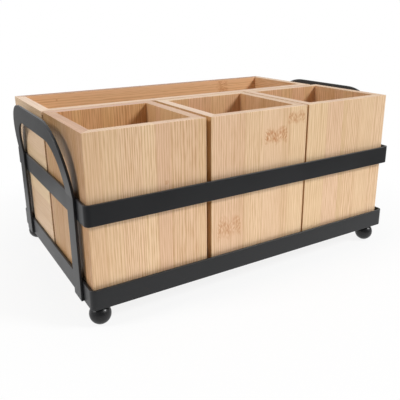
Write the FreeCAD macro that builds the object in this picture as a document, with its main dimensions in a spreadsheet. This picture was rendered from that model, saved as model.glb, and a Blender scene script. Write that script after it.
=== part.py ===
"""Cutlery caddy: three bamboo cups and a long bamboo box in a black strap-steel frame on ball feet.

The cups and the box stand loose in the frame. Millimetres, +Z up, front towards -Y. The origin is on the
table, under the middle of the frame.
"""
import FreeCAD, Part
import os

import Sketcher

doc = FreeCAD.newDocument("cutlery_caddy")

# Driving sizes
SIZES = [
    ("cup_width", 96.8, "outside width of a cup, along X"),
    ("cup_depth", 94.5, "outside depth of a cup, along Y"),
    ("rear_depth", 96.3, "outside depth of the rear box"),
    ("box_height", 129.1, "height of the cups and of the rear box"),
    ("board", 8.5, "wall board thickness"),
    ("base_board", 6.0, "base board thickness"),
    ("corner_round", 0.4, "rounding of a box's upright corners"),
    ("rim_round", 0.3, "rounding along a box's rim"),
    ("corner_spare", 0.1, "least rounding left where the rim turns a corner"),
    ("left_clearance", 1.0, "left cup to the band"),
    ("left_gap", 4.1, "left cup to middle cup"),
    ("right_gap", 1.7, "middle cup to right cup"),
    ("right_clearance", 4.9, "right cup to the band"),
    ("rear_left_clearance", 0.3, "rear box to the band, left end"),
    ("rear_right_clearance", 10.6, "rear box to the band, right end"),
    ("front_clearance", 1.7, "cups to the band"),
    ("row_gap", 2.4, "cups to the rear box"),
    ("back_clearance", 1.7, "rear box to the band"),
    ("strap_thickness", 2.0, "steel strap and handle plate"),
    ("strap_edge", 0.4, "rounding of the strap's edges"),
    ("band_width", 16.0, "upright width of both bands"),
    ("band_corner", 2.5, "inside corner radius of the bands"),
    ("mid_band_rise", 65.4, "lower band's bottom edge to the mid band's"),
    ("handle_width", 164.0, "handle width over its legs"),
    ("handle_strap", 16.0, "width of a handle's leg and bow"),
    ("handle_corner", 46.5, "outside corner radius of the bow"),
    ("handle_rise", 0.6, "top of the bow above the rims"),
    ("handle_lean", 7.1, "outward lean of the bow above the mid band, in degrees"),
    ("bend_radius", 8.0, "inside radius of the bend where the bow starts to lean"),
    ("support_width", 16.0, "width of the straps under the boxes"),
    ("support_inset", 12.0, "inner support straps, in from a box's edge"),
    ("corner_relief", 0.6, "extra rounding of a support strap inside the band's corner"),
    ("ball_diameter", 16.7, "ball foot"),
    ("foot_flat", 0.3, "depth of the flat that a ball stands on"),
    ("seat_flat", 0.7, "depth of the flat on top of a ball, against its strap"),
    ("foot_inset", 6.5, "ball centre from the inside of the lower band, at the front, rear and left"),
    ("right_foot_inset", 12.7, "ball centre from the inside of the lower band, at the right"),
    ("screw_diameter", 3.0, "foot screw"),
    ("screw_head", 5.6, "head of the foot screw"),
    ("screw_reach", 9.0, "length of the screw inside the ball"),
    ("screw_point", 0.5, "chamfer at the screw's end"),
    ("hole_clearance", 0.1, "room around the screw"),
    ("hole_spare", 1.5, "depth of the ball's hole below the screw"),
]

sheet = doc.addObject("Spreadsheet::Sheet", "Sizes")
for row, (alias, value, note) in enumerate(SIZES, start=1):
    sheet.set(f"A{row}", note)
    sheet.set(f"B{row}", str(value))
    sheet.setAlias(f"B{row}", alias)
doc.recompute()

# Places that several pieces share, as formulas in the size names
INNER_LENGTH = (
    "(left_clearance + cup_width + left_gap + cup_width + right_gap + cup_width + right_clearance)"
)
INNER_DEPTH = "(front_clearance + cup_depth + row_gap + rear_depth + back_clearance)"
FRAME_BOTTOM = "(ball_diameter - foot_flat - seat_flat)"
BOX_FLOOR = f"({FRAME_BOTTOM} + strap_thickness)"
MID_BAND_BOTTOM = f"({FRAME_BOTTOM} + mid_band_rise)"
MID_BAND_TOP = f"({MID_BAND_BOTTOM} + band_width)"
HANDLE_TOP = f"({BOX_FLOOR} + box_height + handle_rise)"
LEFT_CUP_X = f"(left_clearance - {INNER_LENGTH} / 2)"
MIDDLE_CUP_X = f"({LEFT_CUP_X} + cup_width + left_gap)"
RIGHT_CUP_X = f"({MIDDLE_CUP_X} + cup_width + right_gap)"
REAR_BOX_X = f"(rear_left_clearance - {INNER_LENGTH} / 2)"
REAR_LENGTH = f"({INNER_LENGTH} - rear_left_clearance - rear_right_clearance)"
CUP_Y = f"(front_clearance - {INNER_DEPTH} / 2)"
REAR_BOX_Y = f"({CUP_Y} + cup_depth + row_gap)"
LEFT_FOOT_X = f"(foot_inset - {INNER_LENGTH} / 2)"
RIGHT_FOOT_X = f"({INNER_LENGTH} / 2 - right_foot_inset)"
FOOT_Y = f"({INNER_DEPTH} / 2 - foot_inset)"
HOLE_DIAMETER = "(screw_diameter + 2 * hole_clearance)"

SIZE_NAMES = {alias for alias, value, note in SIZES}
# Closeness at which two places count as one, in millimetres
NEAR = 1e-6
# Faces that meet at less than this many radians run smoothly into each other
SMOOTH_ANGLE = 0.2
# A countersunk screw's cone, in degrees: as deep as it is wide on each side
COUNTERSINK_ANGLE = 90
sub_parts = []


def of_sheet(formula):
    """Spells a formula in size names as one that reads the sheet."""
    spelled, word = "", ""
    for letter in formula + " ":
        if letter.isalpha() or letter == "_":
            word += letter
            continue
        spelled += f"Sizes.{word}" if word in SIZE_NAMES else word
        spelled += letter
        word = ""
    return spelled.strip()


def value_of(formula):
    """Number that a formula has now, to draw a sketch near its solved form and to find edges."""
    return float(sheet.evalExpression(of_sheet(formula)))


def new_body(label):
    body = doc.addObject("PartDesign::Body", label)
    body.Label = label
    return body


def new_sketch(body, name, plane):
    """An empty sketch on one of the body's own origin planes."""
    sketch = body.newObject("Sketcher::SketchObject", name)
    base = next(feature for feature in body.Origin.OriginFeatures if feature.Role == plane)
    sketch.AttachmentSupport = [(base, "")]
    sketch.MapMode = "FlatFace"
    return sketch


def tie(sketch, kind, geometry, point, formula):
    """Holds one coordinate of a point at a formula."""
    index = sketch.addConstraint(Sketcher.Constraint(kind, -1, 1, geometry, point, value_of(formula)))
    name = f"{kind}_{geometry}_{point}"
    sketch.renameConstraint(index, name)
    sketch.setExpression(f"Constraints.{name}", of_sheet(formula))


def outline(sketch, points, arcs=None):
    """Draws a closed outline through points, each two formulas.

    arcs gives the round sides: a side's number, its centre (two formulas), and +1 for a left turn or -1
    for a right one.
    """
    arcs = arcs or {}
    places = [FreeCAD.Vector(value_of(x), value_of(y), 0) for x, y in points]
    first = sketch.GeometryCount
    ends = []
    for side, start in enumerate(places):
        stop = places[(side + 1) % len(places)]
        if side in arcs:
            centre, turn = arcs[side]
            hub = FreeCAD.Vector(value_of(centre[0]), value_of(centre[1]), 0)
            circle = Part.Circle(hub, FreeCAD.Vector(0, 0, 1), (start - hub).Length)
            tail, head = (start, stop) if turn > 0 else (stop, start)
            curve = Part.ArcOfCircle(circle, circle.parameter(tail), circle.parameter(head))
            ends.append((1, 2) if turn > 0 else (2, 1))
        else:
            curve = Part.LineSegment(start, stop)
            ends.append((1, 2))
        sketch.addGeometry(curve, False)
    for side in range(len(places)):
        after = (side + 1) % len(places)
        sketch.addConstraint(Sketcher.Constraint(
            "Coincident", first + side, ends[side][1], first + after, ends[after][0]))
    for side, (x, y) in enumerate(points):
        tie(sketch, "DistanceX", first + side, ends[side][0], x)
        tie(sketch, "DistanceY", first + side, ends[side][0], y)
    for side, (centre, turn) in arcs.items():
        tie(sketch, "DistanceX", first + side, 3, centre[0])


def rounded_rectangle(sketch, half_length, half_depth, radius):
    """Rectangle about the origin, with round corners, drawn from its front side and turning left."""
    run_x, run_y = f"({half_length} - {radius})", f"({half_depth} - {radius})"
    corners = [(run_x, f"-{run_y}"), (run_x, run_y), (f"-{run_x}", run_y), (f"-{run_x}", f"-{run_y}")]
    outline(
        sketch,
        [
            (f"-{run_x}", f"-{half_depth}"), (run_x, f"-{half_depth}"),
            (half_length, f"-{run_y}"), (half_length, run_y),
            (run_x, half_depth), (f"-{run_x}", half_depth),
            (f"-{half_length}", run_y), (f"-{half_length}", f"-{run_y}"),
        ],
        arcs={2 * number + 1: (corner, 1) for number, corner in enumerate(corners)},
    )


def pad(body, sketch, name, length, side="One side", downward=False):
    feature = body.newObject("PartDesign::Pad", name)
    feature.Profile = sketch
    feature.setExpression("Length", of_sheet(length))
    feature.SideType = side
    feature.Reversed = downward
    doc.recompute()
    return feature


def cut_through(body, sketch, name):
    """Cuts a sketch right through the body, both ways."""
    before = body.Shape.Volume
    feature = body.newObject("PartDesign::Pocket", name)
    feature.Profile = sketch
    feature.SideType = "Symmetric"
    feature.Type = "ThroughAll"
    doc.recompute()
    if body.Shape.Volume > before - NEAR:
        raise RuntimeError(f"{name} cuts nothing")
    return feature


def revolve(body, sketch, name):
    feature = body.newObject("PartDesign::Revolution", name)
    feature.Profile = sketch
    feature.ReferenceAxis = (sketch, ["V_Axis"])
    doc.recompute()
    return feature


def round_edges(body, base, name, radius, wanted):
    """Rounds those edges of a feature that a test picks."""
    picked = [f"Edge{number}" for number, edge in enumerate(base.Shape.Edges, start=1) if wanted(edge)]
    feature = body.newObject("PartDesign::Fillet", name)
    feature.Base = (base, picked)
    feature.setExpression("Radius", of_sheet(radius))
    body.Tip = feature
    doc.recompute()
    return feature


def sharp(shape, edge):
    """True for an edge where two faces meet at an angle, false where they run smoothly into each other."""
    faces = [face for face in shape.Faces if any(edge.isSame(other) for other in face.Edges)]
    middle = edge.valueAt((edge.FirstParameter + edge.LastParameter) / 2)
    normals = [face.normalAt(*face.Surface.parameter(middle)) for face in faces]
    return len(normals) == 2 and normals[0].getAngle(normals[1]) > SMOOTH_ANGLE


def place(piece, x="0", y="0", z="0", turn=0):
    """Sets where a piece stands, from formulas, and its turn about its own upright axis, in degrees."""
    piece.Placement = FreeCAD.Placement(FreeCAD.Vector(), FreeCAD.Rotation(FreeCAD.Vector(0, 0, 1), turn))
    for axis, formula in zip("xyz", (x, y, z)):
        piece.setExpression(f"Placement.Base.{axis}", of_sheet(formula))


# Bamboo boxes: four mitred wall boards around a base board
def wall_board(label, length, x, y, turn):
    """A wall board. Its outer face runs from its own origin along +X, and its mitres run inward along +Y."""
    body = new_body(label)
    sketch = new_sketch(body, f"{label}_section", "XY_Plane")
    tip = "(corner_round * (1 - sqrt(0.5)))"
    outline(
        sketch,
        [
            ("corner_round", "0"),
            (f"{length} - corner_round", "0"),
            (f"{length} - {tip}", tip),
            (f"{length} - board", "board"),
            ("board", "board"),
            (tip, tip),
        ],
        arcs={
            1: ((f"{length} - corner_round", "corner_round"), 1),
            5: (("corner_round", "corner_round"), 1),
        },
    )
    blank = pad(body, sketch, f"{label}_blank", "box_height")
    top, outer, inner = value_of("box_height"), value_of(tip), value_of("board")

    def on_rim(edge):
        middle = edge.CenterOfMass
        return middle.z > top - NEAR and (middle.y < outer or middle.y > inner - NEAR)

    round_edges(body, blank, f"{label}_rim", "min(rim_round; corner_round - corner_spare)", on_rim)
    place(body, x, y, BOX_FLOOR, turn)
    sub_parts.append(body)


def base_board(label, width, depth, x, y):
    board = doc.addObject("Part::Box", label)
    board.Label = label
    board.setExpression("Length", of_sheet(f"{width} - 2 * board"))
    board.setExpression("Width", of_sheet(f"{depth} - 2 * board"))
    board.setExpression("Height", of_sheet("base_board"))
    place(board, f"{x} + board", f"{y} + board", BOX_FLOOR)
    sub_parts.append(board)


BOXES = [
    ("left_cup", "cup_width", "cup_depth", LEFT_CUP_X, CUP_Y),
    ("middle_cup", "cup_width", "cup_depth", MIDDLE_CUP_X, CUP_Y),
    ("right_cup", "cup_width", "cup_depth", RIGHT_CUP_X, CUP_Y),
    ("rear_box", REAR_LENGTH, "rear_depth", REAR_BOX_X, REAR_BOX_Y),
]
for box, width, depth, x, y in BOXES:
    far_x, far_y = f"{x} + {width}", f"{y} + {depth}"
    wall_board(f"{box}_front", width, x, y, 0)
    wall_board(f"{box}_right", depth, far_x, y, 90)
    wall_board(f"{box}_back", width, far_x, far_y, 180)
    wall_board(f"{box}_left", depth, x, far_y, 270)
    base_board(f"{box}_base", width, depth, x, y)


# Bands: closed loops of flat strap, standing on edge around all four boxes
def band(label, bottom):
    body = new_body(label)
    sketch = new_sketch(body, f"{label}_section", "XY_Plane")
    half_length, half_depth = f"({INNER_LENGTH} / 2)", f"({INNER_DEPTH} / 2)"
    rounded_rectangle(sketch, half_length, half_depth, "band_corner")
    rounded_rectangle(
        sketch,
        f"({half_length} + strap_thickness)",
        f"({half_depth} + strap_thickness)",
        "(band_corner + strap_thickness)",
    )
    loop = pad(body, sketch, f"{label}_loop", "band_width")
    round_edges(body, loop, f"{label}_edges", "strap_edge", lambda edge: sharp(loop.Shape, edge))
    place(body, z=bottom)
    sub_parts.append(body)


band("lower_band", FRAME_BOTTOM)
band("mid_band", MID_BAND_BOTTOM)


# Handles: flat plate bows whose legs lie against both bands and whose upper part leans outward
def handle(label, turn):
    """A handle as it stands at the right end. Turned half round, it is the left one."""
    body = new_body(label)
    inner = f"({INNER_LENGTH} / 2 + strap_thickness)"
    outer = f"({inner} + strap_thickness)"
    hub = (f"({outer} + bend_radius)", MID_BAND_TOP)
    wide = "(bend_radius + strap_thickness)"

    def after_bend(radius):
        return f"({hub[0]} - {radius} * cos(handle_lean))", f"({hub[1]} + {radius} * sin(handle_lean))"

    def at_top(radius):
        x, z = after_bend(radius)
        return f"({x} + ({HANDLE_TOP} - {z}) * tan(handle_lean))", HANDLE_TOP

    profile = new_sketch(body, f"{label}_profile", "XZ_Plane")
    outline(
        profile,
        [
            (outer, FRAME_BOTTOM), (outer, MID_BAND_TOP),
            after_bend("bend_radius"), at_top("bend_radius"),
            at_top(wide), after_bend(wide),
            (inner, MID_BAND_TOP), (inner, FRAME_BOTTOM),
        ],
        arcs={1: (hub, -1), 5: (hub, 1)},
    )
    pad(body, profile, f"{label}_plate", "handle_width", side="Symmetric")

    half = "(handle_width / 2 - handle_strap)"
    radius = "(handle_corner - handle_strap)"
    crown = f"({HANDLE_TOP} - handle_strap)"
    run, spring = f"({half} - {radius})", f"({crown} - {radius})"
    window = new_sketch(body, f"{label}_window", "YZ_Plane")
    outline(
        window,
        [
            (f"-{half}", "0"), (half, "0"), (half, spring),
            (run, crown), (f"-{run}", crown), (f"-{half}", spring),
        ],
        arcs={2: ((run, spring), 1), 4: ((f"-{run}", spring), 1)},
    )
    cut_through(body, window, f"{label}_opening")

    side, shoulder = "(handle_width / 2)", f"({HANDLE_TOP} - handle_corner)"
    start = f"({side} - handle_corner)"
    corners = new_sketch(body, f"{label}_corners", "YZ_Plane")
    outline(
        corners,
        [(start, HANDLE_TOP), (side, shoulder), (side, HANDLE_TOP)],
        arcs={0: ((start, shoulder), -1)},
    )
    outline(
        corners,
        [(f"-{side}", shoulder), (f"-{start}", HANDLE_TOP), (f"-{side}", HANDLE_TOP)],
        arcs={0: ((f"-{start}", shoulder), -1)},
    )
    bow = cut_through(body, corners, f"{label}_bow")
    round_edges(body, bow, f"{label}_edges", "strap_edge", lambda edge: sharp(bow.Shape, edge))
    place(body, turn=turn)
    sub_parts.append(body)


handle("right_handle", 0)
handle("left_handle", 180)


# Support straps: flat steel laid between the ends of the lower band, which the boxes stand on
def support_strap(label, front, turn=0, feet=()):
    """A strap with its front edge at the given place. One with feet has round corners and screw holes.

    feet gives where its feet are along the strap, as it lies before the turn.
    """
    body = new_body(label)
    half = f"({INNER_LENGTH} / 2)"
    sketch = new_sketch(body, f"{label}_section", "XY_Plane")
    if feet:
        radius = "(band_corner + corner_relief)"
        run = f"({half} - {radius})"
        outline(
            sketch,
            [
                (f"-{run}", "0"), (run, "0"), (half, radius),
                (half, "support_width"), (f"-{half}", "support_width"), (f"-{half}", radius),
            ],
            arcs={1: ((run, radius), 1), 5: ((f"-{run}", radius), 1)},
        )
    else:
        outline(
            sketch,
            [(f"-{half}", "0"), (half, "0"), (half, "support_width"), (f"-{half}", "support_width")],
        )
    flat = pad(body, sketch, f"{label}_flat", "strap_thickness", downward=True)
    if feet:
        centres = new_sketch(body, f"{label}_holes", "XY_Plane")
        for number, x in enumerate(feet):
            middle = FreeCAD.Vector(value_of(x), value_of("foot_inset"), 0)
            circle = Part.Circle(middle, FreeCAD.Vector(0, 0, 1), value_of(HOLE_DIAMETER) / 2)
            centres.addGeometry(circle, False)
            tie(centres, "DistanceX", number, 3, x)
            tie(centres, "DistanceY", number, 3, "foot_inset")
            index = centres.addConstraint(Sketcher.Constraint("Diameter", number, value_of(HOLE_DIAMETER)))
            centres.renameConstraint(index, f"hole_{number}")
            centres.setExpression(f"Constraints.hole_{number}", of_sheet(HOLE_DIAMETER))
        doc.recompute()
        before = flat.Shape.Volume
        holes = body.newObject("PartDesign::Hole", f"{label}_countersinks")
        holes.Profile = centres
        doc.recompute()
        holes.DepthType = "ThroughAll"
        holes.HoleCutType = "Countersink"
        holes.HoleCutCustomValues = True
        holes.HoleCutCountersinkAngle = COUNTERSINK_ANGLE
        holes.setExpression("Diameter", of_sheet(HOLE_DIAMETER))
        holes.setExpression("HoleCutDiameter", of_sheet("screw_head + 2 * hole_clearance"))
        body.Tip = holes
        doc.recompute()
        if body.Shape.Volume > before - NEAR:
            raise RuntimeError(f"{label} has no holes")
    place(body, y=front, z=BOX_FLOOR, turn=turn)
    sub_parts.append(body)


support_strap("front_support_strap", f"-{INNER_DEPTH} / 2", feet=(LEFT_FOOT_X, RIGHT_FOOT_X))
support_strap("cup_rear_support_strap", f"{CUP_Y} + cup_depth - support_inset - support_width")
support_strap("box_front_support_strap", f"{REAR_BOX_Y} + support_inset")
support_strap(
    "rear_support_strap",
    f"{INNER_DEPTH} / 2",
    turn=180,
    feet=(f"-{RIGHT_FOOT_X}", f"-{LEFT_FOOT_X}"),
)


# Feet: balls with a flat to stand on, a flat against the strap and a blind hole for the screw
def ball_foot(label, x, y):
    body = new_body(label)
    sketch = new_sketch(body, f"{label}_profile", "XZ_Plane")
    hole = f"({HOLE_DIAMETER} / 2)"
    hole_floor = f"({FRAME_BOTTOM} - screw_reach - hole_spare)"
    outline(
        sketch,
        [
            ("0", "0"),
            ("sqrt(foot_flat * (ball_diameter - foot_flat))", "0"),
            ("sqrt(seat_flat * (ball_diameter - seat_flat))", FRAME_BOTTOM),
            (hole, FRAME_BOTTOM),
            (hole, hole_floor),
            ("0", hole_floor),
        ],
        arcs={1: (("0", "(ball_diameter / 2 - foot_flat)"), 1)},
    )
    revolve(body, sketch, f"{label}_ball")
    place(body, x, y)
    sub_parts.append(body)


# Foot screws: countersunk, each through a strap into its ball
def foot_screw(label, x, y):
    body = new_body(label)
    sketch = new_sketch(body, f"{label}_profile", "XZ_Plane")
    head, shank = "(screw_head / 2)", "(screw_diameter / 2)"
    end = "(strap_thickness + screw_reach)"
    outline(
        sketch,
        [
            ("0", "0"),
            ("0", f"-{end}"),
            (f"{shank} - screw_point", f"-{end}"),
            (shank, f"screw_point - {end}"),
            (shank, f"{shank} - {head}"),
            (head, "0"),
        ],
    )
    revolve(body, sketch, f"{label}_turned")
    place(body, x, y, f"{BOX_FLOOR} - hole_clearance / 2")
    return body


CORNERS = [
    ("front_left", LEFT_FOOT_X, f"-{FOOT_Y}"),
    ("front_right", RIGHT_FOOT_X, f"-{FOOT_Y}"),
    ("rear_left", LEFT_FOOT_X, FOOT_Y),
    ("rear_right", RIGHT_FOOT_X, FOOT_Y),
]
screws = []
for corner, x, y in CORNERS:
    ball_foot(f"{corner}_foot", x, y)
    screws.append(foot_screw(f"{corner}_screw", x, y))

foot_screws = doc.addObject("Part::Compound", "foot_screws")
foot_screws.Label = "foot_screws"
foot_screws.Links = screws
sub_parts.append(foot_screws)

# Nothing is written unless every object was built
doc.recompute()
for thing in doc.Objects:
    if "Invalid" in thing.State or "Error" in thing.State:
        raise RuntimeError(f"{thing.Name} failed: {thing.State}")
for piece in sub_parts:
    if piece.Shape.isNull() or not piece.Shape.isValid() or not piece.Shape.Solids:
        raise RuntimeError(f"{piece.Label} has no sound shape")

os.makedirs("parts", exist_ok=True)
for piece in sub_parts:
    piece.Shape.exportStep(f"parts/{piece.Label}.step")
    print(f"{piece.Label}: {len(piece.Shape.Solids)} solid, {piece.Shape.Volume:.0f} mm3")
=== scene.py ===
"""Looks of a cutlery caddy: bamboo cups and a long bamboo box, loose in a black steel frame on ball feet.

Metres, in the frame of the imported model: +X along the row of cups, +Y from the cups to the rear box, +Z up.
"""
import math

import bpy
from mathutils import Matrix, Vector


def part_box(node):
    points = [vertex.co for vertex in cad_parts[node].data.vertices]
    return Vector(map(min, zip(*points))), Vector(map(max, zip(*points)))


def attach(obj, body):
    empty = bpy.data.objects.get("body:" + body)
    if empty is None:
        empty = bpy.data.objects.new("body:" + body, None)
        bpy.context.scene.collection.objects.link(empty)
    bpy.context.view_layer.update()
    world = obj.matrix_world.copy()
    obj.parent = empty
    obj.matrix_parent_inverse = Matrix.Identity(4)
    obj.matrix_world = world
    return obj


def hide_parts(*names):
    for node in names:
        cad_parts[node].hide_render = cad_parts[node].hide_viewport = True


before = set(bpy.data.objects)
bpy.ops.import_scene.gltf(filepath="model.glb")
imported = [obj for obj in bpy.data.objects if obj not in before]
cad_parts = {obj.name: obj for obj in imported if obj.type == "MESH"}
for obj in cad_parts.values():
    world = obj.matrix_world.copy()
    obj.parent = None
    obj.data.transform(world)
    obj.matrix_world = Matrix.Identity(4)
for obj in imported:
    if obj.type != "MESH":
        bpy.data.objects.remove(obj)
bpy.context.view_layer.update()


# Bamboo boards: each box is four mitred walls around a base, cut from flat-pressed bamboo panels.
# A panel is glued up from strips of split cane, so it shows strips of uneven width and tone, long fibres,
# and a brown scar across a strip wherever the cane had a joint. The finish is a thin satin lacquer.
class Wire:
    """An output of a shader node. Arithmetic on wires adds Math nodes, and node() adds any other."""

    def __init__(self, socket):
        self.socket = socket

    def node(self, kind, settings, links, output):
        """Adds a node to the same tree: its settings first, then its sockets, by their identifiers."""
        tree = self.socket.id_data
        made = tree.nodes.new(kind)
        for name, value in settings.items():
            setattr(made, name, value)
        for name, value in links.items():
            socket = next(one for one in made.inputs if one.identifier == name)
            if isinstance(value, Wire):
                tree.links.new(value.socket, socket)
            else:
                socket.default_value = value
        return Wire(next(one for one in made.outputs if one.identifier == output))

    def maths(self, operation, first, second=0.0):
        links = {"Value": first, "Value_001": second}
        return self.node("ShaderNodeMath", {"operation": operation}, links, "Value")

    def __add__(self, other):
        return self.maths("ADD", self, other)

    def __radd__(self, other):
        return self.maths("ADD", other, self)

    def __sub__(self, other):
        return self.maths("SUBTRACT", self, other)

    def __rsub__(self, other):
        return self.maths("SUBTRACT", other, self)

    def __mul__(self, other):
        return self.maths("MULTIPLY", self, other)

    def __rmul__(self, other):
        return self.maths("MULTIPLY", other, self)

    def __truediv__(self, other):
        return self.maths("DIVIDE", self, other)

    def __gt__(self, other):
        return self.maths("GREATER_THAN", self, other)

    def __abs__(self):
        return self.maths("ABSOLUTE", self)

    def floor(self):
        return self.maths("FLOOR", self)

    def clamped(self):
        """Held between 0 and 1."""
        return self.maths("MAXIMUM", self.maths("MINIMUM", self, 1.0), 0.0)


def linear(red, green, blue):
    """A colour as a screen shows it, 0 to 255, as linear light for a shader."""
    def channel(value):
        share = value / 255
        return share / 12.92 if share <= 0.04045 else ((share + 0.055) / 1.055) ** 2.4

    return (channel(red), channel(green), channel(blue), 1.0)


def new_material(name):
    """A node material: its shader, and its Object coordinates as three wires."""
    material = bpy.data.materials.new(name)
    material.use_nodes = True
    tree = material.node_tree
    shader = tree.nodes["Principled BSDF"]
    place = Wire(tree.nodes.new("ShaderNodeTexCoord").outputs["Object"])
    parts = [place.node("ShaderNodeSeparateXYZ", {}, {"Vector": place}, axis) for axis in "XYZ"]
    return material, shader, parts


def feed(shader, name, wire):
    shader.id_data.links.new(wire.socket, shader.inputs[name])


def dress(node, material):
    """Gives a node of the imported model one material."""
    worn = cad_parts[node].data.materials
    worn.clear()
    worn.append(material)


def noise(x, y, z, size, detail=2.0, roughness=0.5):
    """Cloudy noise around zero, whose blotches are about the given size across."""
    vector = x.node("ShaderNodeCombineXYZ", {}, {"X": x, "Y": y, "Z": z}, "Vector")
    links = {"Vector": vector, "Scale": 1 / size, "Detail": detail, "Roughness": roughness}
    return x.node("ShaderNodeTexNoise", {}, links, "Fac") - 0.5


def chance(number):
    """Three numbers between 0 and 1 that belong to a whole number."""
    drawn = number.node("ShaderNodeTexWhiteNoise", {"noise_dimensions": "1D"}, {"W": number}, "Color")
    return [
        number.node("ShaderNodeSeparateColor", {}, {"Color": drawn}, channel)
        for channel in ("Red", "Green", "Blue")
    ]


def mixed(share, first, second, blend="MIX"):
    """A colour between two colours."""
    wire = next(one for one in (share, first, second) if isinstance(one, Wire))
    links = {"Factor_Float": share, "A_Color": first, "B_Color": second}
    settings = {"data_type": "RGBA", "blend_type": blend}
    return wire.node("ShaderNodeMix", settings, links, "Result_Color")


X, Y, Z = 0, 1, 2

# Strips and what runs along them. A stretch below 1 draws a noise out along the fibres.
STRIP_WIDTH = 0.015
STRIP_UNEVEN = 0.8
STRIP_TONE = 0.21
GLUE_LINE = 0.0003
SWAY = 0.0004
SWAY_ACROSS = 0.002
SWAY_ALONG = 0.02
FIBRE = 0.0021
WANDER = 0.005
WANDER_STRETCH = 0.02
FLECK = 0.0006
FLECK_STRETCH = 0.04
HAIR = 0.0007
HAIR_STRETCH = 0.02
CLOUD = 0.02
CLOUD_STRETCH = 0.25
PLY = 0.0022
PLY_STRETCH = 0.02
SCAR_FLECK = 0.0007

CANE_PALE = linear(238, 208, 176)
CANE_DEEP = linear(184, 136, 82)
TINT_PINK = (1.0, 0.955, 0.96, 1.0)
TINT_YELLOW = (0.99, 1.0, 0.89, 1.0)
# Painted shade: inner faces of the walls are multiplied by this, darker and more orange, for the light that
# bounces inside the boxes
PAINTED_INSIDE_SHADE = (1.0, 0.9, 0.79, 1.0)
SCAR_BROWN = linear(184, 116, 56)
PLY_BROWN = linear(176, 128, 98)
# Rim colours; the pale ones are partly the end grain's own colour and partly painted sheen of the light on
# the top faces
RIM_PALE_SHEEN = linear(248, 220, 196)
RIM_PINK = linear(236, 196, 178)
RIM_ROSE = linear(212, 170, 146)
RIM_DEEP = linear(168, 116, 78)

# How deep a board is in colour, beside the usual depth, and how strongly it is lined, beside the usual 1
USUAL_DEPTH = 0.22
DEEPER = {
    "left_cup_left": 0.38,
    "middle_cup_back": -0.1,
    # Painted shade: the left boards of the middle and right cups are deeper, so that the narrow gaps between
    # the cups, where their outer faces show, read dark
    "middle_cup_left": 0.4,
    "right_cup_back": -0.1,
    "right_cup_left": 0.4,
    "rear_box_left": -0.16,
    "rear_box_back": -0.36,
}
LINED = {
    "left_cup_left": 2.2,
    "left_cup_back": 1.5,
    "rear_box_left": 0.4,
}

# Inner faces tinted darker and more orange as painted shade of light bouncing inside the boxes, a painted lit
# strip at the top of an outer face, and each rim's share of its colour
PAINTED_INSIDE_SHADES = {
    "left_cup_back": (1.0, 0.86, 0.68, 1.0),
    "rear_box_back": (1.0, 0.84, 0.72, 1.0),
}
# Painted light: the top of the rear box's front face, lit where it shows in the gap behind the cups, takes
# its rim colour over this height
PAINTED_LIT_STRIP = {"rear_box_front": 0.0014}
USUAL_RIM = (0.3, RIM_PALE_SHEEN)
RIMS = {
    "left_cup_left": (0.3, RIM_PINK),
    "left_cup_back": (0.8, RIM_ROSE),
    "left_cup_right": (0.6, RIM_ROSE),
    "middle_cup_left": (0.78, RIM_PALE_SHEEN),
    "right_cup_left": (0.6, RIM_PALE_SHEEN),
    "rear_box_front": (0.45, RIM_PALE_SHEEN),
    "rear_box_left": (0.7, RIM_PALE_SHEEN),
    "rear_box_back": (0.9, RIM_DEEP),
}

# Scars of the cane: centre across the strips, centre along the fibres, width, height and strength
SCARS = {
    "left_cup_front": [
        (-0.0879, 0.1017, 0.0030, 0.004, 0.7),
    ],
    "middle_cup_front": [
        (0.0148, 0.1242, 0.0245, 0.014, 1.0),
        (0.0362, 0.1372, 0.0190, 0.011, 0.8),
        (-0.0315, 0.0527, 0.0240, 0.020, 0.7),
    ],
    "right_cup_right": [
        (-0.0610, 0.1080, 0.0180, 0.012, 0.8),
    ],
    "left_cup_back": [
        (-0.1180, 0.0720, 0.0160, 0.012, 0.8),
    ],
    "rear_box_back": [
        (0.1390, 0.0834, 0.0140, 0.016, 0.8),
        (0.1407, -0.1131, 0.0018, 0.002, 0.8),
        (0.0640, -0.0620, 0.0200, 0.014, 0.8),
    ],
    "rear_box_right": [
        (0.0850, 0.0350, 0.0170, 0.012, 0.7),
    ],
}


def scarred(colour, relief, over, up, deep, scar):
    """Colour and relief with a scar laid on: a bowed band of brown flecks that thins out at its edges."""
    centre, height, width, tall, strength = scar
    aside = (over - centre) / (width / 2)
    bow = abs(aside) * 2 - 1
    level = (up - height) / (tall / 2) - 0.2 + bow * bow * 0.5
    within = ((1 - abs(aside)) * 8).clamped()
    band = (1.1 - level * level).clamped()
    flecks = noise(aside * (1 - level * 0.25) * width / 2, deep, level * tall * 0.09, SCAR_FLECK, 1.0)
    mark = within * band * (flecks * 8 + 0.45).clamped()
    return mixed(mark * 0.85 * strength, colour, SCAR_BROWN), relief - mark * 0.3


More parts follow.
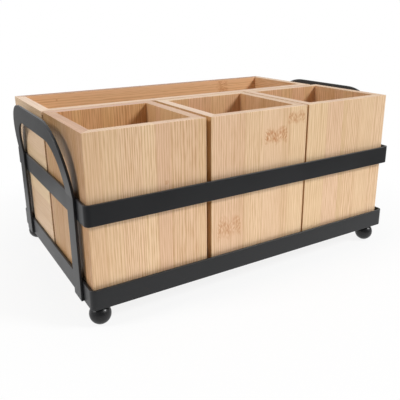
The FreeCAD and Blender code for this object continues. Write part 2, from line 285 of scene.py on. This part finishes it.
def edged(colour, board, seed, place, run, through, inward):
    """Colour of a wall with its inner face tinted as painted shade and its sawn rim paler or deeper, streaked
    by plies; the pale rims are partly painted sheen.
    """
    deep = place[through]
    normal = Wire(deep.socket.id_data.nodes.new("ShaderNodeNewGeometry").outputs["Normal"])
    upward = normal.node("ShaderNodeSeparateXYZ", {}, {"Vector": normal}, "Z")
    # Upward faces take the rim colour, partly the end grain and partly painted sheen
    rim = ((upward - 0.4) * 2.5).clamped()
    lowest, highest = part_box(board)
    middle = (lowest[through] + highest[through]) / 2
    inside = (deep - middle) * inward > 0.0
    # Painted light: a lit strip along the top of the outer face takes the rim colour
    if board in PAINTED_LIT_STRIP:
        lit_top_strip = place[Z] > highest[Z] - PAINTED_LIT_STRIP[board]
        rim = rim.maths("MAXIMUM", rim, lit_top_strip * (1 - inside))
    # Painted shade on the inner faces
    inside_shaded = mixed(1.0, colour, PAINTED_INSIDE_SHADES.get(board, PAINTED_INSIDE_SHADE), "MULTIPLY")
    colour = mixed(inside * (1 - rim), colour, inside_shaded)
    rim_share, rim_colour = RIMS.get(board, USUAL_RIM)
    colour = mixed(rim * rim_share, colour, rim_colour)
    plies = noise(run * PLY_STRETCH, deep, seed * 0.0051, PLY, 2.0)
    return mixed(rim * (plies * 5.0).clamped() * (0.7 - rim_share * 0.6), colour, PLY_BROWN)


def bamboo(board, seed, across, along, inward):
    """Panel with its strips laid side by side across one axis and its fibres along another.

    inward is 1 or -1 for a wall, the way from its outer face to its inner one, and 0 for a base.
    """
    material, shader, place = new_material(f"bamboo_{board}")
    through = X + Y + Z - across - along
    over, up, deep = place[across], place[along], place[through]

    steps = over / STRIP_WIDTH + seed * 17.3
    edge = (steps + 0.5).floor()
    past_edge = steps - edge - (chance(edge)[0] - 0.5) * STRIP_UNEVEN
    strip = edge + (past_edge > 0.0)
    tone, tint, sway = chance(strip + 0.5)
    contrast, pitch, shift = chance(strip + 0.25)
    lined = (0.5 + contrast * 0.8) * LINED.get(board, 1.0)
    glue = (1 - abs(past_edge) * (STRIP_WIDTH / GLUE_LINE)).clamped()

    drift = noise(over / SWAY_ACROSS, deep / SWAY_ACROSS, up / SWAY_ALONG + strip * 3.1, 1.0, 1.0)
    line = over + drift * sway * SWAY
    wander = noise(line, deep, up * WANDER_STRETCH + strip * 0.17, WANDER, 2.0) * 2
    turns = line / FIBRE * (0.8 + pitch * 0.5) + wander + shift
    fibre = line.maths("SINE", turns * (2 * math.pi)) * 0.3
    fleck = noise(line, deep, up * FLECK_STRETCH + strip * 0.31, FLECK, 1.0)
    hair = noise(line, deep, up * HAIR_STRETCH + strip * 0.23, HAIR, 2.0, 0.6)
    cloud = noise(over, deep, up * CLOUD_STRETCH, CLOUD, 1.0)
    bundle = (0.3 - lined * (fibre * 1.6 + fleck * 2.6)).clamped()

    depth = USUAL_DEPTH + DEEPER.get(board, 0.0) + (0.5 - tone) * STRIP_TONE
    depth = depth + bundle * 0.46 - hair * 0.5 - cloud * 0.15 + glue * 0.25
    colour = mixed(depth.clamped(), CANE_PALE, CANE_DEEP)
    colour = mixed(1.0, colour, mixed(tint, TINT_PINK, TINT_YELLOW), "MULTIPLY")
    relief = hair * 0.4 - bundle * 0.3 - glue * 0.4
    for scar in SCARS.get(board, []):
        colour, relief = scarred(colour, relief, over, up, deep, scar)
    if inward:
        run = over if along == Z else up
        colour = edged(colour, board, seed, place, run, through, inward)

    feed(shader, "Base Color", colour)
    feed(shader, "Roughness", 0.46 - hair * 0.25)
    links = {"Height": relief, "Strength": 0.25, "Distance": 0.0003}
    feed(shader, "Normal", relief.node("ShaderNodeBump", {}, links, "Normal"))
    return material


BOXES = ["left_cup", "middle_cup", "right_cup", "rear_box"]
INWARD = {"front": 1, "right": -1, "back": -1, "left": 1, "base": 0}
for number, box in enumerate(BOXES):
    for side, board in enumerate(INWARD):
        node = f"{box}_{board}"
        level_axis = Y if board in ("right", "left") else X
        if board == "base":
            across, along = Y, X
        elif box == "rear_box":
            across, along = Z, level_axis
        else:
            across, along = level_axis, Z
        seed = number * len(INWARD) + side + 1
        dress(node, bamboo(node, seed, across, along, INWARD[board]))


# Steel frame: bands, handles and support straps of flat strap, welded together and powder coated black.
# The coat is satin, with the faint orange peel that powder leaves as it melts.
COAT_BLACK = linear(26, 27, 29)
COAT_GREY = linear(31, 32, 34)
COAT_PATCH = 0.03
PEEL = 0.0009
STEEL = [
    "lower_band", "mid_band", "left_handle", "right_handle",
    "front_support_strap", "cup_rear_support_strap", "box_front_support_strap", "rear_support_strap",
]


def powder_coat():
    material, shader, (x, y, z) = new_material("black_powder_coat")
    peel = noise(x, y, z, PEEL, 2.0)
    patch = noise(x, y, z, COAT_PATCH, 1.0)
    feed(shader, "Base Color", mixed((0.5 + patch).clamped(), COAT_BLACK, COAT_GREY))
    feed(shader, "Roughness", 0.38 + patch * 0.12 + peel * 0.1)
    links = {"Height": peel, "Strength": 0.2, "Distance": 0.0002}
    feed(shader, "Normal", peel.node("ShaderNodeBump", {}, links, "Normal"))
    return material


coat = powder_coat()
for node in STEEL:
    dress(node, coat)


# Weld beads: short fillets laid by hand where a handle's leg crosses the top edge of a band, and flatter ones
# under the ends of the two middle support straps. Each is a row of ripples, coated with the frame.
BEAD_RADIUS = 0.0008
RIPPLE = 0.0009
RIPPLES = 12
RIPPLE_SWELL = 1.14
LEG_BEAD_X = 0.15235
LEG_BEAD_Y = 0.074
LEG_BEAD_HEIGHTS = (0.0320, 0.0974)
STRAP_BEAD_X = 0.15105
STRAP_BEAD_ROWS = (-0.0221, 0.0203)
STRAP_BEAD_HEIGHT = 0.0157
STRAP_BEAD_FLATNESS = 0.7


def pick_faces(piece, wanted):
    """Goes into edit mode with only those faces selected whose centre passes the test."""
    bpy.ops.object.mode_set(mode="OBJECT")
    for part in (piece.data.vertices, piece.data.edges, piece.data.polygons):
        part.foreach_set("select", [False] * len(part))
    for face in piece.data.polygons:
        face.select = wanted(face.center)
    bpy.ops.object.mode_set(mode="EDIT")
    bpy.ops.mesh.select_mode(type="FACE")


def draw_out(step, growth):
    """Extrudes the selected face by a step and resizes it across that step."""
    bpy.ops.mesh.extrude_region_move(TRANSFORM_OT_translate={"value": step})
    bpy.ops.transform.resize(value=[1.0 if move else growth for move in step])


def weld_bead(flatness):
    """A rippled bead along Y around the origin."""
    bpy.ops.object.select_all(action="DESELECT")
    bpy.ops.mesh.primitive_cylinder_add(
        vertices=14, radius=BEAD_RADIUS, depth=RIPPLE / 2, rotation=(math.pi / 2, 0, 0)
    )
    bead = bpy.context.object
    bpy.ops.object.transform_apply(location=True, rotation=True, scale=True)
    for way in (1, -1):
        pick_faces(bead, lambda centre: centre.y * way > RIPPLE * 0.24)
        for ripple in range(RIPPLES // 2):
            draw_out((0, way * RIPPLE / 2, 0), RIPPLE_SWELL)
            draw_out((0, way * RIPPLE / 2, 0), 1 / RIPPLE_SWELL)
        draw_out((0, way * RIPPLE / 3, 0), 0.75)
        draw_out((0, way * RIPPLE / 5, 0), 0.4)
    bpy.ops.mesh.select_all(action="SELECT")
    bpy.ops.transform.resize(value=(1.0, 1.0, flatness), center_override=(0, 0, 0))
    bpy.ops.mesh.normals_make_consistent(inside=False)
    bpy.ops.object.mode_set(mode="OBJECT")
    bpy.ops.object.shade_smooth()
    return bead


def copies(model, name, places):
    """One object made of copies of a model, which is used up, each with its origin at one of the places."""
    bpy.ops.object.select_all(action="DESELECT")
    for place in places:
        copy = model.copy()
        copy.data = model.data.copy()
        copy.data.transform(Matrix.Translation(place))
        bpy.context.scene.collection.objects.link(copy)
        copy.select_set(True)
        bpy.context.view_layer.objects.active = copy
    bpy.data.objects.remove(model)
    bpy.ops.object.join()
    joined = bpy.context.object
    joined.name = name
    return joined


leg_places = [
    (side * LEG_BEAD_X, leg * LEG_BEAD_Y, height)
    for side in (-1, 1) for leg in (-1, 1) for height in LEG_BEAD_HEIGHTS
]
strap_places = [
    (side * STRAP_BEAD_X, row, STRAP_BEAD_HEIGHT)
    for side in (-1, 1) for row in STRAP_BEAD_ROWS
]
BEADS = [
    ("handle_welds", 1.0, leg_places),
    ("strap_welds", STRAP_BEAD_FLATNESS, strap_places),
]
for name, flatness, places in BEADS:
    welds = copies(weld_bead(flatness), name, places)
    welds.data.materials.append(coat)
    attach(welds, "frame")


# Ball feet: turned steel balls, dipped in gloss black paint, each drawn up against its strap by a screw.
# The paint is smoother than the frame's coat and mirrors the floor.
PAINT_THICK = linear(20, 20, 21)
PAINT_THIN = linear(26, 26, 27)
SAG = 0.006


def gloss_paint():
    material, shader, (x, y, z) = new_material("black_gloss_paint")
    sag = noise(x, y, z, SAG, 1.0)
    feed(shader, "Base Color", mixed((0.5 + sag).clamped(), PAINT_THICK, PAINT_THIN))
    feed(shader, "Roughness", 0.32 + sag * 0.08)
    return material


paint = gloss_paint()
for corner in ("front_left", "front_right", "rear_left", "rear_right"):
    dress(f"{corner}_foot", paint)


# Foot screws: countersunk zinc-plated machine screws with a cross recess, formed cold, one through each strap
# corner into its ball. They are seen only when a box is lifted out.
SCREW_RADIUS = 0.0015
HEAD_RADIUS = 0.0028
CONE = 0.0013
SHANK = 0.0092
POINT = 0.0005
RECESS_LENGTH = 0.0029
RECESS_WIDTH = 0.0008
RECESS_DEPTH = 0.0011
SCREW_COLUMNS = (-0.14455, 0.13835)
SCREW_ROWS = (-0.0918, 0.0918)
HEAD_HEIGHT = 0.01765
ZINC_DULL = linear(170, 170, 172)
ZINC_BRIGHT = linear(205, 205, 203)
BLOOM = 0.002


def zinc_plate():
    material, shader, (x, y, z) = new_material("zinc_plate")
    bloom = noise(x, y, z, BLOOM, 2.0)
    feed(shader, "Base Color", mixed((0.5 + bloom).clamped(), ZINC_DULL, ZINC_BRIGHT))
    feed(shader, "Roughness", 0.35 + bloom * 0.2)
    shader.inputs["Metallic"].default_value = 1.0
    return material


def recess_bar(turn):
    """One bar of the cross, narrowing downward, as a cutter."""
    bpy.ops.object.select_all(action="DESELECT")
    bpy.ops.mesh.primitive_cube_add(size=1.0, location=(0, 0, 0), rotation=(0, 0, turn))
    bar = bpy.context.object
    bar.scale = (RECESS_LENGTH, RECESS_WIDTH, RECESS_DEPTH * 2)
    bpy.ops.object.transform_apply(location=True, rotation=True, scale=True)
    pick_faces(bar, lambda centre: centre.z < -RECESS_DEPTH * 0.9)
    bpy.ops.transform.resize(value=(0.4, 0.4, 1.0))
    bpy.ops.object.mode_set(mode="OBJECT")
    return bar


def countersunk_screw():
    """A screw pointing down, with the top of its head at the origin."""
    bpy.ops.object.select_all(action="DESELECT")
    middle = -CONE - SHANK / 2
    bpy.ops.mesh.primitive_cylinder_add(
        vertices=32, radius=SCREW_RADIUS, depth=SHANK, location=(0, 0, middle)
    )
    screw = bpy.context.object
    bpy.ops.object.transform_apply(location=True, rotation=True, scale=True)
    pick_faces(screw, lambda centre: centre.z > -CONE * 1.01)
    draw_out((0, 0, CONE * 0.92), HEAD_RADIUS / SCREW_RADIUS)
    draw_out((0, 0, CONE * 0.08), 0.985)
    pick_faces(screw, lambda centre: centre.z < -CONE - SHANK * 0.99)
    draw_out((0, 0, -POINT), 0.67)
    bpy.ops.object.mode_set(mode="OBJECT")
    for turn in (0, math.pi / 2):
        bar = recess_bar(turn)
        bpy.ops.object.select_all(action="DESELECT")
        bpy.context.view_layer.objects.active = screw
        screw.select_set(True)
        cut = screw.modifiers.new("recess", "BOOLEAN")
        cut.operation = "DIFFERENCE"
        cut.object = bar
        bpy.ops.object.modifier_apply(modifier=cut.name)
        bpy.data.objects.remove(bar)
    bpy.ops.object.shade_smooth_by_angle(angle=math.radians(30))
    return screw


screw_places = [(x, y, HEAD_HEIGHT) for x in SCREW_COLUMNS for y in SCREW_ROWS]
screws = copies(countersunk_screw(), "cross_recess_screws", screw_places)
screws.data.materials.append(zinc_plate())
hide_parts("foot_screws")
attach(screws, "frame")


# Floor: a plain white round that camera and steel see as nearly white, with the object's faint shadow.
# It whitens fully toward its edge, so that it ends unseen, and other light meets it as a matt white table.
FLOOR_RADIUS = 0.33
FLOOR_DROP = 0.0002
FLOOR_MATT = (0.95, 0.95, 0.95, 1)
WHITE = (1, 1, 1, 1)
WHITE_SHARE = 0.86
WHITE_GAIN = 0.28
MOST_MIRRORED = 0.83
bpy.ops.object.select_all(action="DESELECT")
bpy.ops.mesh.primitive_circle_add(
    vertices=96, radius=FLOOR_RADIUS, fill_type="NGON", location=(0, 0, -FLOOR_DROP)
)
floor = bpy.context.object
floor.name = "floor"
floor_finish = bpy.data.materials.new("white_floor")
floor_finish.use_nodes = True
tree = floor_finish.node_tree
tree.nodes.clear()
path = tree.nodes.new("ShaderNodeLightPath")
sees_camera = Wire(path.outputs["Is Camera Ray"])
sees_gloss = Wire(path.outputs["Is Glossy Ray"])
ground = Wire(tree.nodes.new("ShaderNodeTexCoord").outputs["Object"])
backward = ground.node("ShaderNodeSeparateXYZ", {}, {"Vector": ground}, "Y")
rightward = ground.node("ShaderNodeSeparateXYZ", {}, {"Vector": ground}, "X")
mirrored = backward.maths("MINIMUM", (1.0 + backward * 2.4 + rightward * 0.6).clamped(), MOST_MIRRORED)
shown = sees_camera + sees_gloss * mirrored
matt = shown.node("ShaderNodeBsdfDiffuse", {}, {"Color": FLOOR_MATT}, "BSDF")
plain_white = shown.node("ShaderNodeEmission", {}, {"Color": WHITE, "Strength": shown}, "Emission")
outward = ground.node("ShaderNodeVectorMath", {"operation": "LENGTH"}, {"Vector": ground}, "Value")
whitened = WHITE_SHARE + (outward / FLOOR_RADIUS - 0.5).clamped() * WHITE_GAIN
share = sees_camera.maths("MAXIMUM", sees_camera, sees_gloss) * whitened
links = {"Fac": share, "Shader": matt, "Shader_001": plain_white}
blend = shown.node("ShaderNodeMixShader", {}, links, "Shader")
output = tree.nodes.new("ShaderNodeOutputMaterial")
tree.links.new(blend.socket, output.inputs["Surface"])
floor.data.materials.append(floor_finish)


# Room: a white studio around the object, plain white to the camera. Its fill is strongest at eye level,
# weaker overhead than underfoot, dim on the camera's side and bright to the right of it. Gloss sees a
# greyer room.
AT_EYE_LEVEL = 0.85
FALL_FROM_LEVEL = 1.7
OVERHEAD = 0.25
MORE_UNDERFOOT = 0.35
DIM_SHARE = 0.85
BRIGHT_SHARE = 0.45
GLOSS_ROOM = 0.40
world = bpy.data.worlds.new("studio")
bpy.context.scene.world = world
world.use_nodes = True
tree = world.node_tree
tree.nodes.clear()
path = tree.nodes.new("ShaderNodeLightPath")
sees_camera = Wire(path.outputs["Is Camera Ray"])
sees_gloss = Wire(path.outputs["Is Glossy Ray"])
sees_through = Wire(path.outputs["Is Transmission Ray"])
heading = Wire(tree.nodes.new("ShaderNodeTexCoord").outputs["Generated"])
backward = heading.node("ShaderNodeSeparateXYZ", {}, {"Vector": heading}, "Y")
upward = heading.node("ShaderNodeSeparateXYZ", {}, {"Vector": heading}, "Z")
leftward = heading.node("ShaderNodeSeparateXYZ", {}, {"Vector": heading}, "X") * -1.0
forward = backward * -1.0
below = upward * -1.0 > 0.0
around = AT_EYE_LEVEL - abs(upward) * FALL_FROM_LEVEL
level = upward.maths("MAXIMUM", around, OVERHEAD + below * MORE_UNDERFOOT)
dim = (leftward * 0.8 + forward * 0.6).clamped()
bright = (forward * 0.7 - leftward * 0.7).clamped()
fill = level * (1 - dim * DIM_SHARE + bright * BRIGHT_SHARE)
room = (GLOSS_ROOM + backward * 0.28 + backward.clamped() * upward * 1.1).clamped()
background = (sees_camera + sees_through).clamped()
strength = fill + background * (1 - fill) + sees_gloss * (room - fill)
glow = strength.node("ShaderNodeBackground", {}, {"Color": WHITE, "Strength": strength}, "Background")
output = tree.nodes.new("ShaderNodeOutputWorld")
tree.links.new(glow.socket, output.inputs["Surface"])


# Lamps: a square softbox from the upper right, a little in front, and a weaker one from the upper left.
# Both are turned to the middle of the caddy.
MIDDLE = (0.0, 0.0, 0.08)


def soft_lamp(name, place, size, power):
    lamp = bpy.data.lights.new(name, "AREA")
    lamp.shape = "SQUARE"
    lamp.size = size
    lamp.energy = power
    lamp_object = bpy.data.objects.new(name, lamp)
    bpy.context.scene.collection.objects.link(lamp_object)
    lamp_object.location = place
    lamp_object.rotation_euler = (Vector(MIDDLE) - Vector(place)).to_track_quat("-Z", "Y").to_euler()


soft_lamp("key_lamp", (1.27, -1.27, 1.35), 0.5, 33.5)
soft_lamp("left_lamp", (-1.29, 0.1, 1.01), 0.4, 11.7)


# Light panels: two flat panels lying on the floor, before the cups and beside the left handle, that lift the
# walls from below as a white table in bright light does. They are hidden from the camera and from mirrors.
def floor_panel(name, place, width, depth, power):
    panel = bpy.data.lights.new(name, "AREA")
    panel.shape = "RECTANGLE"
    panel.size = width
    panel.size_y = depth
    panel.energy = power
    panel_object = bpy.data.objects.new(name, panel)
    bpy.context.scene.collection.objects.link(panel_object)
    panel_object.location = place
    panel_object.rotation_euler = (math.pi, 0, 0)
    panel_object.visible_camera = False
    panel_object.visible_glossy = False


floor_panel("front_panel", (-0.05, -0.235, 0.001), 0.44, 0.24, 0.165)
floor_panel("left_panel", (-0.29, 0.0, 0.001), 0.22, 0.3, 0.05)


# Camera: standing off the left front corner and looking down on the rims. Its place, turn and lens are
# fitted to the corners of the boxes and the edges of the bands.
CAMERA_PLACE = (-0.25045, -0.41383, 0.21998)
CAMERA_YAW = math.radians(31.0737)
CAMERA_PITCH = math.radians(17.543)
CAMERA_ROLL = math.radians(-0.4927)
camera = bpy.data.cameras.new("camera")
camera.sensor_width = 36.0
camera.lens = 45.552
camera.shift_y = -0.0625
camera_object = bpy.data.objects.new("camera", camera)
bpy.context.scene.collection.objects.link(camera_object)
turn = (
    Matrix.Rotation(-CAMERA_YAW, 4, "Z")
    @ Matrix.Rotation(math.pi / 2 - CAMERA_PITCH, 4, "X")
    @ Matrix.Rotation(CAMERA_ROLL, 4, "Z")
)
camera_object.matrix_world = Matrix.Translation(CAMERA_PLACE) @ turn
bpy.context.scene.camera = camera_object
bpy.context.scene.view_settings.view_transform = "Standard"
